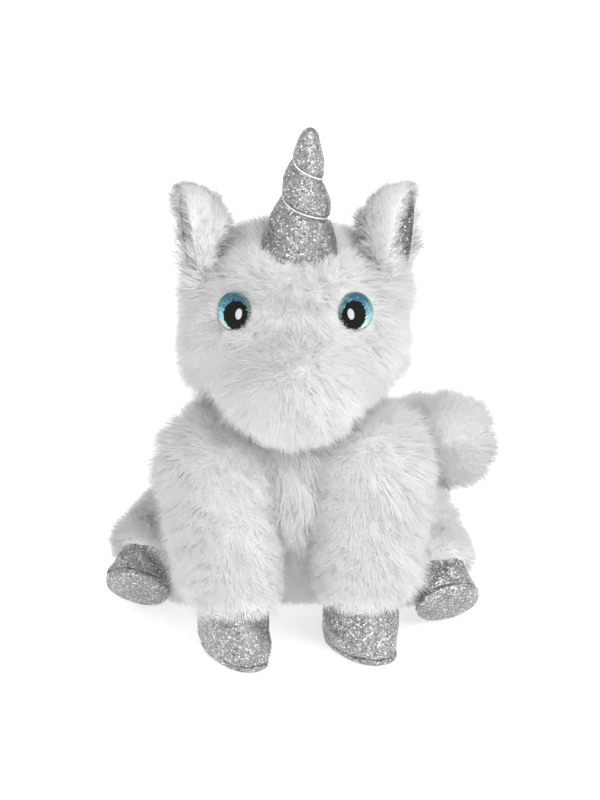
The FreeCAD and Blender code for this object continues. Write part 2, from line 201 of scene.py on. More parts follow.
def scattered(mesh, density, rng):
    """Points at random over a mesh with their normals; density is points per square millimetre."""
    mesh.calc_loop_triangles()
    points = read_points(mesh)
    normals = np.empty(len(mesh.vertices) * 3, np.float32)
    mesh.vertices.foreach_get("normal", normals)
    normals = normals.reshape(-1, 3).astype(float)
    corners = np.empty(len(mesh.loop_triangles) * 3, np.int32)
    mesh.loop_triangles.foreach_get("vertices", corners)
    corners = corners.reshape(-1, 3)
    a, b, c = (points[corners[:, k]] for k in range(3))
    area = np.linalg.norm(np.cross(b - a, c - a), axis=1) / 2
    count = int(area.sum() / MM ** 2 * density)
    pick = rng.choice(len(corners), count, p=area / area.sum())
    u = np.sqrt(rng.random((count, 1)))
    v = rng.random((count, 1))
    weights = (1 - u, u * (1 - v), u * v)
    spots = sum(w * points[corners[pick, k]] for k, w in enumerate(weights))
    facing = sum(w * normals[corners[pick, k]] for k, w in enumerate(weights))
    return spots, unit(facing)


def along_surface(direction, normals):
    """The part of each direction that lies in the surface."""
    flat = direction - (direction * normals).sum(1, keepdims=True) * normals
    return flat / np.maximum(np.linalg.norm(flat, axis=1, keepdims=True), 0.3)


def nearest(points, centres):
    """For each point, the number of its nearest centre."""
    tree = KDTree(len(centres))
    for number, centre in enumerate(centres):
        tree.insert(centre, number)
    tree.balance()
    return np.array([tree.find(point)[1] for point in points])


STRANDS_A_PIECE = 19000
STRAND_SIDES = 3
LOWEST_TIP = 0.35 * MM
ROOT_DEPTH = 0.4 * MM
TUFT_RUFFLE = 0.13
SWIRL_RUFFLE = 0.14
STRAND_RUFFLE = 0.22
TUFT_REACH = (0.9, 1.05)
STRAND_REACH = (0.68, 1.06)


class Coat:
    """How the pile of one skin lies: its brushing, its length and its unevenness."""

    def __init__(self, comb, length, stand, seed, rng):
        self.comb = comb
        self.length = length
        self.stand = stand
        self.rng = rng
        self.wander = Wander(seed, 26 * MM)
        self.swirl = Wander(seed + 1, 9 * MM)
        self.lumps = Wander(seed + 2, 24 * MM)

    def heading(self, points, normals, rough):
        """Between standing up and lying the way it is brushed."""
        brushed = along_surface(self.comb(points) + 0.4 * self.wander(points), normals)
        return unit(self.stand * normals + (1 - self.stand) * 1.6 * brushed + rough)

    def reach(self, points, low, high):
        """Lengths in metres: uneven in lumps, and each at random between two shares of the full one."""
        fluff = 1 + 0.10 * self.lumps(points)[:, 0] + 0.05 * self.swirl(points)[:, 0]
        return self.length(points) * MM * fluff * self.rng.uniform(low, high, len(points))

    def bend(self, points, normals):
        """How far each strand's tip droops, as a share of its length."""
        droop = along_surface(self.comb(points), normals) * 0.30 - UP * 0.18
        return droop + self.rng.normal(size=points.shape) * 0.14


def grow(name, body, skin, comb, length, seed, density=3.2, stand=0.86, tuft=5.0, pull=0.25,
         width=0.23, keep=None, obstacles=None, shortest=4.0):
    """Plant pile on a skin as pieces of closed tapered strands, and have them ride on a body.

    comb(points) is the way the pile is brushed; length(points) is in millimetres; keep(points,
    normals) says which roots grow; the pile is pressed short where it meets the obstacles.
    """
    rng = np.random.default_rng(seed)
    roots, normals = scattered(skin.data, density, rng)
    centres, centre_normals = scattered(skin.data, 1 / tuft ** 2, rng)
    if keep is not None:
        chosen = keep(roots, normals)
        roots, normals = roots[chosen], normals[chosen]
    coat = Coat(comb, length, stand, seed, rng)
    tuft_ruffle = rng.normal(size=centres.shape) * TUFT_RUFFLE
    tuft_heading = coat.heading(centres, centre_normals, tuft_ruffle)
    tuft_size = coat.reach(centres, *TUFT_REACH)
    mine = nearest(roots, centres)
    own_ruffle = rng.normal(size=roots.shape) * STRAND_RUFFLE
    ruffle = tuft_ruffle[mine] + SWIRL_RUFFLE * coat.swirl(roots) + own_ruffle
    heading = coat.heading(roots, normals, ruffle)
    size = coat.reach(roots, *STRAND_REACH)
    if obstacles is not None:
        free = size
        size = pressed(roots, heading, size, obstacles, shortest * MM)
        shown = (size > 0.6 * free) | (rng.random(len(roots)) < 0.45)
        roots, normals, heading, size, mine = (v[shown] for v in (roots, normals, heading, size, mine))

    def gathered(part):
        """Where each strand would be at this share of its length if it lay on its tuft's line."""
        return centres[mine] + tuft_heading[mine] * (tuft_size[mine] * part)[:, None]

    lines = strand_lines(roots, normals, heading, size, coat.bend(roots, normals), gathered, pull)
    tone = strand_tones(len(centres), mine, rng)
    thick = width * MM * rng.uniform(0.75, 1.15, len(roots))
    for number, start in enumerate(range(0, len(roots), STRANDS_A_PIECE)):
        rows = slice(start, start + STRANDS_A_PIECE)
        piece = strands("%s_%d" % (name, number + 1), [line[rows] for line in lines], normals[rows],
                        thick[rows], tone[rows])
        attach(piece, body)


def pressed(roots, heading, size, obstacles, shortest):
    """Shorten each strand that would run into an obstacle."""
    size = size.copy()
    for number in range(len(roots)):
        direction = Vector(heading[number])
        start = Vector(roots[number]) + direction * (0.2 * MM)
        hit = obstacles.ray_cast(start, direction, size[number])
        if hit[0] is not None:
            size[number] = max(hit[3], shortest)
    return size


def strand_lines(roots, normals, heading, size, bend, gathered, pull):
    """Root, middle and tip of each strand: bent, and drawn towards its tuft's line."""
    lines = [roots - normals * ROOT_DEPTH]
    for part in (0.5, 1.0):
        curved = roots + heading * (size * part)[:, None]
        curved = curved + bend * (size * part ** 2 * 0.5)[:, None]
        share = pull * part ** 1.5 * np.clip(size / (8 * MM), 0, 1)[:, None] ** 2
        line = curved + (gathered(part) - curved) * share
        line[:, 2] = np.maximum(line[:, 2], LOWEST_TIP)
        lines.append(line)
    return lines


def strand_tones(tufts, mine, rng):
    """Each strand has its tuft's tone, but for some strays."""
    tone = rng.integers(0, len(PILE_TONES), tufts)[mine]
    stray = rng.random(len(mine)) < 0.4
    tone[stray] = rng.integers(0, len(PILE_TONES), stray.sum())
    return tone


def strand_verts(lines, thick):
    """Two rings of corners and a tip for each strand."""
    root, middle, tip = lines
    along = unit(tip - root)
    side = unit(np.cross(along, UP + 0.01))
    other = np.cross(along, side)
    corners = []
    for centre, share in ((root, 1.0), (middle, 0.85)):
        for corner in range(STRAND_SIDES):
            angle = 2 * math.pi * corner / STRAND_SIDES
            arm = side * math.cos(angle) + other * math.sin(angle)
            corners.append(centre + arm * (thick * share / 2)[:, None])
    corners.append(tip)
    return np.stack(corners, 1).reshape(-1, 3)


def strand_triangles():
    """The faces of one closed strand: a cap at the root, a wall and a point."""
    triangles = [(2, 1, 0)]
    for corner in range(STRAND_SIDES):
        after = (corner + 1) % STRAND_SIDES
        triangles.append((corner, after, STRAND_SIDES + after))
        triangles.append((corner, STRAND_SIDES + after, STRAND_SIDES + corner))
        triangles.append((STRAND_SIDES + corner, STRAND_SIDES + after, 2 * STRAND_SIDES))
    return np.array(triangles)


def strands(name, lines, facing, thick, tone):
    """Closed three-sided tapered tubes through the given rows of points, one tube a row."""
    count = len(thick)
    verts = strand_verts(lines, thick)
    triangles = strand_triangles()
    each = 2 * STRAND_SIDES + 1
    faces = (np.arange(count) * each)[:, None, None] + triangles[None]
    mesh = bpy.data.meshes.new(name)
    mesh.vertices.add(len(verts))
    mesh.vertices.foreach_set("co", verts.astype(np.float32).ravel())
    total = count * len(triangles)
    mesh.loops.add(total * 3)
    mesh.loops.foreach_set("vertex_index", faces.astype(np.int32).ravel())
    mesh.polygons.add(total)
    mesh.polygons.foreach_set("loop_start", np.arange(0, total * 3, 3, dtype=np.int32))
    mesh.polygons.foreach_set("material_index", np.repeat(tone, len(triangles)).astype(np.int32))
    mesh.polygons.foreach_set("use_smooth", np.ones(total, bool))
    mesh.update(calc_edges=True)
    soften(mesh, facing, each)
    for material in PILE_TONES:
        mesh.materials.append(material)
    return linked(name, mesh)


def soften(mesh, facing, each):
    """Light each strand partly as the surface under it, which is how dense pile looks."""
    own = np.empty(len(mesh.vertices) * 3, np.float32)
    mesh.vertices.foreach_get("normal", own)
    own = own.reshape(-1, 3)
    mixed = unit(own * 0.4 + np.repeat(facing, each, axis=0) * 0.6)
    mesh.normals_split_custom_set_from_vertices(mixed.tolist())


# ---------------------------------------------------------------- materials

def principled(name, **sockets):
    """A material whose own shader sockets hold the constant values."""
    material = bpy.data.materials.new(name)
    material.use_nodes = True
    shader = material.node_tree.nodes["Principled BSDF"]
    for socket, value in sockets.items():
        shader.inputs[socket.replace("_", " ")].default_value = value
    return material, material.node_tree, shader


def grey(value, warm=0.0):
    """A grey, or with a little warmth a cream, as a colour with alpha."""
    return (value + warm, value, value - warm, 1.0)


def colour(tree, factor, *stops):
    """A colour ramp over a factor; each stop is its position and colour."""
    ramp = tree.nodes.new("ShaderNodeValToRGB")
    elements = ramp.color_ramp.elements
    while len(elements) < len(stops):
        elements.new(0.5)
    for element, (position, value) in zip(elements, stops):
        element.position = position
        element.color = value
    tree.links.new(factor, ramp.inputs["Fac"])
    return ramp.outputs["Color"]


def texture(tree, kind, scale, **settings):
    """A noise, Voronoi or wave texture in object space, its scale in cells per metre."""
    place = tree.nodes.new("ShaderNodeTexCoord")
    node = tree.nodes.new("ShaderNodeTex" + kind)
    node.inputs["Scale"].default_value = scale
    for key, value in settings.items():
        node.inputs[key].default_value = value
    tree.links.new(place.outputs["Object"], node.inputs["Vector"])
    return node


def bumped(tree, shader, height, strength, distance):
    """Let a texture's height bump the shader's normal."""
    bump = tree.nodes.new("ShaderNodeBump")
    bump.inputs["Strength"].default_value = strength
    bump.inputs["Distance"].default_value = distance
    tree.links.new(height, bump.inputs["Height"])
    tree.links.new(bump.outputs["Normal"], shader.inputs["Normal"])


PILE_TONES = [
    principled("pile_tone_%d" % number, Base_Color=grey(value, warm), Roughness=0.95,
               Specular_IOR_Level=0.1, Sheen_Weight=0.2, Sheen_Roughness=0.6)[0]
    for number, (value, warm) in enumerate(((0.935, 0.0), (0.945, 0.002), (0.955, 0.0), (0.94, -0.002)))
]


def backing_material():
    """The knitted backing that the pile grows from."""
    material, tree, shader = principled("plush_backing", Roughness=0.95, Sheen_Weight=0.3)
    noise = texture(tree, "Noise", 900)
    shade = colour(tree, noise.outputs["Fac"], (0.3, grey(0.80)), (0.7, grey(0.92)))
    tree.links.new(shade, shader.inputs["Base Color"])
    bumped(tree, shader, noise.outputs["Fac"], 0.6, 0.5 * MM)
    return material


def glitter_material():
    """Cloth covered in fine silver flakes, each lying at its own slant; each flake's grey differs at
    random, and the few near-white ones are painted glints.
    """
    material, tree, shader = principled("silver_glitter", Metallic=0.75, Roughness=0.38,
                                        Specular_IOR_Level=0.5)
    flakes = texture(tree, "Voronoi", 1450, Randomness=1.0)
    tone = tree.nodes.new("ShaderNodeSeparateColor")
    tree.links.new(flakes.outputs["Color"], tone.inputs["Color"])
    # Flake greys: the darker and middle ones differ at random, the near-white top of the ramp is
    # painted glint.
    shade = colour(tree, tone.outputs["Red"], (0.0, grey(0.16)), (0.12, grey(0.24)),
                   (0.28, grey(0.33)), (0.82, grey(0.40)), (0.92, grey(0.80)), (1.0, grey(1.0)))
    clouds = texture(tree, "Noise", 160)
    patchy = colour(tree, clouds.outputs["Fac"], (0.3, grey(0.78)), (0.7, grey(1.0)))
    mix = tree.nodes.new("ShaderNodeMix")
    mix.data_type = "RGBA"
    mix.blend_type = "MULTIPLY"
    mix.inputs["Factor"].default_value = 1.0
    tree.links.new(shade, mix.inputs["A"])
    tree.links.new(patchy, mix.inputs["B"])
    tree.links.new(mix.outputs["Result"], shader.inputs["Base Color"])
    slant(tree, shader, flakes.outputs["Color"], 0.6)
    return material


def slant(tree, shader, random_colour, amount):
    """Tilt the surface normal by a random colour, so that each cell faces its own way."""
    surface = tree.nodes.new("ShaderNodeNewGeometry")
    centred = tree.nodes.new("ShaderNodeVectorMath")
    centred.operation = "MULTIPLY_ADD"
    centred.inputs[1].default_value = (amount,) * 3
    centred.inputs[2].default_value = (-amount / 2,) * 3
    tree.links.new(random_colour, centred.inputs[0])
    total = tree.nodes.new("ShaderNodeVectorMath")
    total.operation = "ADD"
    tree.links.new(surface.outputs["Normal"], total.inputs[0])
    tree.links.new(centred.outputs["Vector"], total.inputs[1])
    straight = tree.nodes.new("ShaderNodeVectorMath")
    straight.operation = "NORMALIZE"
    tree.links.new(total.outputs["Vector"], straight.inputs[0])
    tree.links.new(straight.outputs["Vector"], shader.inputs["Normal"])


def thread_material(name, dark, light):
    """Twisted sewing thread."""
    material, tree, shader = principled(name, Roughness=0.6, Sheen_Weight=0.3)
    noise = texture(tree, "Noise", 2500)
    shade = colour(tree, noise.outputs["Fac"], (0.35, dark), (0.65, light))
    tree.links.new(shade, shader.inputs["Base Color"])
    return material


def stuffing_material():
    """Matted polyester fibre."""
    material, tree, shader = principled("stuffing_fibre", Roughness=0.95, Sheen_Weight=0.4)
    fibres = texture(tree, "Noise", 420, Detail=6.0, Distortion=2.5)
    shade = colour(tree, fibres.outputs["Fac"], (0.3, grey(0.72, 0.01)), (0.7, grey(0.92, 0.01)))
    tree.links.new(shade, shader.inputs["Base Color"])
    bumped(tree, shader, fibres.outputs["Fac"], 0.9, 1.5 * MM)
    return material


def lining_material():
    """Plain woven cotton of the bean pouch."""
    material, tree, shader = principled("pouch_cloth", Roughness=0.9, Sheen_Weight=0.15)
    weave = texture(tree, "Wave", 900, Distortion=1.5)
    shade = colour(tree, weave.outputs["Fac"], (0.2, grey(0.62, 0.02)), (0.8, grey(0.76, 0.02)))
    tree.links.new(shade, shader.inputs["Base Color"])
    bumped(tree, shader, weave.outputs["Fac"], 0.5, 0.3 * MM)
    return material


def pellet_material():
    """A packed mass of small plastic beads, each lighter at its middle and darker towards its edge as
    painted shade between the beads.
    """
    material, tree, shader = principled("plastic_pellets", Roughness=0.35)
    beads = texture(tree, "Voronoi", 330)
    # Lighter at each bead's middle, darker where beads meet: painted shade.
    shade = colour(tree, beads.outputs["Distance"], (0.0, grey(0.85)), (0.6, grey(0.45)))
    tree.links.new(shade, shader.inputs["Base Color"])
    bumped(tree, shader, beads.outputs["Distance"], 1.0, -1.5 * MM)
    return material


BACKING = backing_material()
GLITTER = glitter_material()
WHITE_THREAD = thread_material("white_thread", grey(0.70), grey(0.92))
DARK_THREAD = thread_material("dark_thread", grey(0.02), grey(0.09))
STUFFING = stuffing_material()


def dress(item, body, material, slot, *nodes):
    """Give a piece its material, body and the CAD nodes that it stands for; the slot argument is not
    used.
    """
    item.data.materials.clear()
    item.data.materials.append(material)
    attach(item, body)
    if nodes:
        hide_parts(*nodes)
    return item


def finish_cad(node, material):
    """A better material on a CAD node that stays as it is."""
    item = NODES[node]
    for slot in item.material_slots:
        slot.material = material


# ---------------------------------------------------------------- skins

TORSO_NODES = ["torso_panel_left", "torso_panel_right", "base_panel", "torso_stuffing"]
HEAD_NODES = ["head_panel_left", "head_panel_right", "head_gusset", "head_stuffing"]

skins = {
    "torso": cloth_skin("torso_cover", TORSO_NODES, 2.5 * MM, 14),
    "head": cloth_skin("head_cover", HEAD_NODES, 2.2 * MM, 58),
    "neck": cloth_skin("neck_cover", ["neck_stuffing"], 2.5 * MM, 2, pressure=0.5),
    "tail": cloth_skin("tail_skin", ["tail_cover", "tail_stuffing"], 2.0 * MM, 12),
}
for limb in LIMBS:
    skins[limb] = cloth_skin(limb + "_cover", [limb + "_sleeve", limb + "_stuffing"], 2.2 * MM, 10)

covers = {
    "torso": TORSO_NODES[:3],
    "head": HEAD_NODES[:3],
    "neck": ["neck_stuffing"],
    "tail": ["tail_cover"],
}
for body, skin in skins.items():
    nodes = covers.get(body) or ["%s_sleeve" % body]
    dress(skin, body, BACKING, "white_plush", *nodes)


# ---------------------------------------------------------------- camera, light, floor

def camera():
    """Square in front of the toy, from a little above it and far enough to flatten it."""
    data = bpy.data.cameras.new("camera")
    item = linked("camera", data)
    elevation = math.radians(22)
    distance = 3.0
    view_height = 0.384
    data.sensor_width = 36
    data.lens = data.sensor_width * distance / view_height
    target = Vector((0.0024, -0.003, 0.0964))
    back = Vector((0, -math.cos(elevation), math.sin(elevation)))
    item.location = target + back * distance
    item.rotation_mode = "QUATERNION"
    item.rotation_quaternion = (-back).to_track_quat("-Z", "Y")
    data.clip_start = 0.05
    data.clip_end = 20
    bpy.context.scene.camera = item


def area_light(name, place, target, size, power):
    """A square soft light that faces the target."""
    data = bpy.data.lights.new(name, "AREA")
    data.size = size
    data.energy = power
    item = linked(name, data)
    item.location = place
    direction = Vector(target) - Vector(place)
    item.rotation_mode = "QUATERNION"
    item.rotation_quaternion = direction.to_track_quat("-Z", "Y")


def studio():
    """A bright white surround, a soft key light from above on the right, and a pale floor."""
    world = bpy.data.worlds.new("studio")
    bpy.context.scene.world = world
    world.use_nodes = True
    background = world.node_tree.nodes["Background"]
    background.inputs["Color"].default_value = (1, 1, 1, 1)
    background.inputs["Strength"].default_value = 0.85
    middle = (0, -0.04, 0.1)
    area_light("key", (0.6, -1.2, 1.4), middle, 0.8, 13)
    area_light("front", (-0.1, -1.7, 0.45), middle, 1.0, 4)
    floor = new_object("floor", [(-6, -6, 0), (6, -6, 0), (6, 6, 0), (-6, 6, 0)], [(0, 1, 2, 3)])
    material = principled("pale_floor", Base_Color=grey(0.80), Roughness=0.95,
                          Specular_IOR_Level=0.0, Emission_Color=grey(1.0), Emission_Strength=0.55)[0]
    floor.data.materials.append(material)
    scene = bpy.context.scene
    scene.view_settings.view_transform = "Standard"
    scene.cycles.max_bounces = 12
    scene.cycles.diffuse_bounces = 8


camera()
studio()


# ---------------------------------------------------------------- thread

def spun_thread(name, path, radius, twist):
    """A two-ply thread along a path of points: two turning lobes, thinner at both ends."""
    path = np.asarray(path, float)
    along = unit(np.gradient(path, axis=0))
    side = unit(np.cross(along, unit(path - path.mean(0))))
    other = np.cross(along, side)
    travelled = np.concatenate([[0], np.cumsum(np.linalg.norm(np.diff(path, axis=0), axis=1))])
    around = 10
    verts = []
    for number, centre in enumerate(path):
        for corner in range(around):
            angle = 2 * math.pi * corner / around
            lobe = 1 + 0.22 * math.cos(2 * angle - 2 * math.pi * travelled[number] / twist)
            lobe *= min(1, 0.35 + min(number, len(path) - 1 - number) * 0.35)
            arm = side[number] * math.cos(angle) + other[number] * math.sin(angle)
            verts.append(centre + arm * radius * lobe)
    return new_object(name, verts, tube_faces(len(path), around))


def tube_faces(rings, around, capped=True):
    """Quads between rings of vertices, closed at both ends."""
    faces = []
    for ring in range(rings - 1):
        for corner in range(around):
            after = (corner + 1) % around
            low, high = ring * around, (ring + 1) * around
            faces.append((low + corner, low + after, high + after, high + corner))
    if capped:
        faces.append(tuple(reversed(range(around))))
        faces.append(tuple((rings - 1) * around + corner for corner in range(around)))
    return faces


# ---------------------------------------------------------------- horn

class HornShape:
    """The horn's cone and the thread's line round it, read from the CAD pieces."""

    turns = 2
    start_angle = math.pi / 2
    tip_radius = 4.4 * MM

    def __init__(self):
        self.root = pivot("horn_lean")
        points = read_points(NODES["horn_cover"].data) - self.root
        tip = points[points[:, 2] > points[:, 2].max() - 1 * MM].mean(0)
        self.up = unit(tip)
        self.across = unit(np.cross(np.array((0.0, 1.0, 0.0)), self.up))
        self.away = np.cross(self.up, self.across)
        height = points @ self.up
        spread = np.linalg.norm(points - np.outer(height, self.up), axis=1)
        self.length = height.max()
        upper = height > self.length / 2
        self.slope, self.base = np.polyfit(*outline(height[upper], spread[upper]), 1)
        thread = (read_points(NODES["horn_thread"].data) - self.root) @ self.up
        self.low = thread.min() + 1 * MM
        self.high = thread.max() - 1 * MM
        self.pitch = (self.high - self.low) / self.turns

    def cone(self, height):
        """Radius of the plain cone, rounded at its tip."""
        full = self.base + self.slope * height
        over = np.clip((height - (self.length - self.tip_radius)) / self.tip_radius, 0, 1)
        return full * np.sqrt(1 - over ** 2 * 0.97)

    def direction(self, angle):
        """Straight out from the horn's axis."""
        return self.across * math.cos(angle) + self.away * math.sin(angle)

    def from_thread(self, height, angle):
        """How far up the axis this point is from the nearest turn of the thread."""
        turned = (self.start_angle - angle) % (2 * math.pi)
        along = self.low + self.pitch * turned / (2 * math.pi)
        number = np.clip(np.round((height - along) / self.pitch), 0, self.turns - 1)
        return height - (along + number * self.pitch)


def outline(height, spread):
    """The outermost points of a side view, one for each of a few bands of height."""
    edges = np.linspace(height.min(), height.max() - 5 * MM, 6)
    heights, spreads = [], []
    for low, high in zip(edges[:-1], edges[1:]):
        band = (height >= low) & (height <= high)
        if band.any():
            top = np.argmax(spread * band)
            heights.append(height[top])
            spreads.append(spread[top])
    return heights, spreads


def horn_puff(shape):
    """Puffed glitter cloth, drawn in along the thread that winds round it."""
    around, rings = 96, 150
    crease = 1.1 * MM
    wrinkle = Wander(5, 11 * MM)
    verts = []
    for height in np.linspace(1 * MM, shape.length, rings):
        fade = min(1.0, (shape.length - height) / (14 * MM))
        swell = 0.24 if height > shape.low else 0.19
        for angle in np.linspace(0, 2 * math.pi, around, endpoint=False):
            gap = abs(shape.from_thread(height, angle))
            puff = -0.03 + swell * min(gap / (shape.pitch / 2), 1.0) ** 0.6
            pinch = 0.10 * math.exp(-(gap / crease) ** 2)
            direction = shape.direction(angle)
            radius = shape.cone(height) * (1 + (puff - pinch) * fade)
            spot = shape.root + shape.up * height + direction * radius
            rumple = wrinkle(spot[None] * (1, 1, 0.4))[0, 0]
            verts.append(spot + direction * 0.25 * MM * fade * rumple)
    body = new_object("horn_puff", verts, tube_faces(rings, around))
    dress(body, "horn", GLITTER, "silver_glitter", "horn_cover")
    return body


def horn_winding(shape):
    """The thread, sunk in the crease that it draws."""
    path = []
    for share in np.linspace(0, 1, 200):
        height = shape.low + share * (shape.high - shape.low)
        angle = shape.start_angle - 2 * math.pi * shape.turns * share
        reach = shape.cone(height) * 0.90 + 0.35 * MM
        path.append(shape.root + shape.up * height + shape.direction(angle) * reach)
    thread = spun_thread("horn_winding", path, 0.42 * MM, 1.8 * MM)
    dress(thread, "horn", WHITE_THREAD, "white_thread", "horn_thread")


horn_shape = HornShape()
horn = horn_puff(horn_shape)
horn_winding(horn_shape)


# ---------------------------------------------------------------- hooves

SEAM_HEIGHT = 3.2 * MM
SOLE_EDGE = ((0.0, 0.25), (0.0, 0.6), (0.0, 0.86), (0.25, 0.93), (0.9, 0.975), (1.8, 0.99),
             (2.6, 0.985), (3.2, 0.96), (3.5, 0.90))    # height in mm and share of the outline


def plate_frame(node):
    """Centre, axes and half sizes of a thin flat node, longest first and its normal last."""
    points = read_points(NODES[node].data)
    middle = (points.min(0) + points.max(0)) / 2
    axes = np.linalg.svd(points - points.mean(0), full_matrices=False)[2]
    spread = [(points - middle) @ a for a in axes]
    centre = middle + sum(a * (s.max() + s.min()) / 2 for a, s in zip(axes, spread))
    halves = [(s.max() - s.min()) / 2 for s in spread]
    return centre, axes, halves


class HoofShape:
    """A boot's taper from its squarish sole to its round top, read from the CAD pieces."""

    around = 96
    squareness = 2.3

    def __init__(self, prefix, seed):
        centre, (long_axis, _, normal), (half_long, half_short, half_thick) = \
            plate_frame(prefix + "_sole")
        upper = read_points(NODES[prefix + "_upper"].data) - centre
        if (upper @ normal).mean() < 0:
            normal = -normal
        self.normal = normal
        self.long_axis = long_axis
        self.short_axis = np.cross(normal, long_axis)
        self.half_long = half_long
        self.half_short = half_short
        self.height = (upper @ normal).max()
        rim = upper[(upper @ normal) > self.height - 0.5 * MM]
        self.top_radius = np.linalg.norm(rim - np.outer(rim @ normal, normal), axis=1).max()
        self.bottom = centre - normal * half_thick
        self.rumple = Wander(seed, 13 * MM)

    def ring(self, level, factor, wrinkled):
        """One outline, level above the sole's underside, wider than the plain taper by a factor."""
        share = level / self.height
        power = 2 / (self.squareness + (2 - self.squareness) * share)
        a = self.half_long + (self.top_radius - self.half_long) * share
        b = self.half_short + (self.top_radius - self.half_short) * share
        spots = []
        for angle in np.linspace(0, 2 * math.pi, self.around, endpoint=False):
            c, s = math.cos(angle), math.sin(angle)
            arm = (self.long_axis * a * math.copysign(abs(c) ** power, c)
                   + self.short_axis * b * math.copysign(abs(s) ** power, s))
            spot = self.bottom + self.normal * level + arm * factor
            spots.append(spot + unit(arm) * wrinkled * self.rumple(spot[None])[0, 0])
        return spots


def hoof_wall(prefix, shape, rows=26):
    """The puffed wall of the boot, as thick as its cloth."""
    verts = []
    for number in range(rows):
        share = number / (rows - 1)
        level = SEAM_HEIGHT + (shape.height - SEAM_HEIGHT) * share
        puff = 0.955 + 0.10 * math.sin(math.pi * min(1, share * 1.15 + 0.02)) ** 0.6
        verts += shape.ring(level, puff, 0.45 * MM)
    wall = new_object(prefix + "_boot", verts, tube_faces(rows, shape.around, capped=False))
    return modified(wall, "SOLIDIFY", thickness=1.0 * MM, offset=-1)


def hoof_sole(prefix, shape, bulge):
    """The sole, turned in at its edge; the filling can bulge it out."""
    verts = []
    for level, factor in SOLE_EDGE:
        crown = bulge * max(0, 1 - factor ** 2)
        verts += shape.ring(level * MM + 0.1 * MM - crown, factor, 0.1 * MM)
    sole = new_object(prefix + "_sole_patch", verts, tube_faces(len(SOLE_EDGE), shape.around))
    points = read_points(sole.data)
    points[:, 2] = np.maximum(points[:, 2], 0.15 * MM)
    write_points(sole.data, points)
    return sole


def stitches(prefix, seam, seed, step=4):
    """Short stitches along the seam, pulled in by different amounts."""
    rng = np.random.default_rng(seed)
    seam = np.array(seam)
    work = bmesh.new()
    middle = seam.mean(0)
    for start in range(0, len(seam), step):
        spots = seam[[(start + k) % len(seam) for k in range(3)]]
        sunk = rng.uniform(-0.3, 1.0) * MM
        spots = spots - unit(spots - middle) * sunk
        fine = np.array([spots[0] + (spots[2] - spots[0]) * t for t in np.linspace(0, 1, 7)])
        thread = spun_thread("stitch", fine, 0.38 * MM, 1.2 * MM)
        work.from_mesh(thread.data)
        bpy.data.objects.remove(thread)
    mesh = bpy.data.meshes.new(prefix + "_stitches")
    work.to_mesh(mesh)
    work.free()
    mesh.shade_smooth()
    return linked(prefix + "_stitches", mesh)


def hoof(limb, seed):
    """A boot of glitter cloth, a sole and the dark stitches that join them; the cloth pieces."""
    prefix = limb.replace("leg", "hoof")
    shape = HoofShape(prefix, seed)
    wall = hoof_wall(prefix, shape)
    dress(wall, limb, GLITTER, "silver_glitter", prefix + "_upper")
    sole = hoof_sole(prefix, shape, 0 if limb.startswith("front") else 2.2 * MM)
    dress(sole, limb, GLITTER, "silver_glitter", prefix + "_sole")
    seam = shape.ring(SEAM_HEIGHT - 0.1 * MM, 0.985, 0.1 * MM)
    dress(stitches(prefix, seam, seed), limb, DARK_THREAD, "white_thread")
    return wall, sole


hooves = {limb: hoof(limb, 60 + number) for number, limb in enumerate(LIMBS)}


# ---------------------------------------------------------------- eyes

def iris_material():
    """Metallic embroidery, blue-teal at the top; towards the bottom it turns bright cyan as a painted
    sheen, and its flakes speckle it, partly the foil's own glitter and partly painted sparkle.
    """
    material, tree, shader = principled("iris_foil", Metallic=0.55, Roughness=0.28)
    flakes = texture(tree, "Voronoi", 1500)
    tone = tree.nodes.new("ShaderNodeSeparateColor")
    tree.links.new(flakes.outputs["Color"], tone.inputs["Color"])
    place = tree.nodes.new("ShaderNodeTexCoord")
    where = tree.nodes.new("ShaderNodeSeparateXYZ")
    tree.links.new(place.outputs["Generated"], where.inputs["Vector"])
    # Flake speckle plus the height up the eye: the lower, the lighter and more cyan, a painted sheen.
    glitter_and_sheen_level = tree.nodes.new("ShaderNodeMath")
    glitter_and_sheen_level.operation = "MULTIPLY_ADD"
    glitter_and_sheen_level.inputs[1].default_value = 0.36
    tree.links.new(tone.outputs["Red"], glitter_and_sheen_level.inputs[0])
    tree.links.new(where.outputs["Z"], glitter_and_sheen_level.inputs[2])
    # Bright cyan at the low end is painted sheen; the blue-teal at the high end is the foil's own
    # colour.
    shade = colour(tree, glitter_and_sheen_level.outputs["Value"], (0.30, (0.62, 0.90, 0.86, 1)),
                   (0.60, (0.20, 0.55, 0.60, 1)), (0.86, (0.06, 0.22, 0.30, 1)),
                   (1.0, (0.04, 0.13, 0.20, 1)))
    tree.links.new(shade, shader.inputs["Base Color"])
    slant(tree, shader, flakes.outputs["Color"], 0.8)
    return material


def satin_material(name, dark, light, scale):
    """Satin stitch: close parallel threads."""
    material, tree, shader = principled(name, Roughness=0.6, Specular_IOR_Level=0.12)
    threads = texture(tree, "Wave", scale, Distortion=1.0)
    shade = colour(tree, threads.outputs["Fac"], (0.1, dark), (0.9, light))
    tree.links.new(shade, shader.inputs["Base Color"])
    bumped(tree, shader, threads.outputs["Fac"], 0.35, 0.2 * MM)
    return material


IRIS = iris_material()
IRIS_EDGE = satin_material("iris_outline", (0.08, 0.12, 0.10, 1), (0.22, 0.28, 0.24, 1), 1800)
PUPIL = satin_material("pupil_satin", grey(0.003), grey(0.009), 1500)
HIGHLIGHT = satin_material("highlight_satin", grey(0.50), grey(0.64), 1500)
EYE_CROWN = 2.2 * MM


def crowned(points, iris):
    """Height of the eye's rounded surface over the iris patch, at these points."""
    centre, (long_axis, short_axis, _), (half_long, half_short, _) = iris
    offset = points - centre
    flat = np.hypot(offset @ long_axis / half_long, offset @ short_axis / half_short)
    return EYE_CROWN * np.sqrt(np.clip(1.06 - flat ** 2, 0, 1))


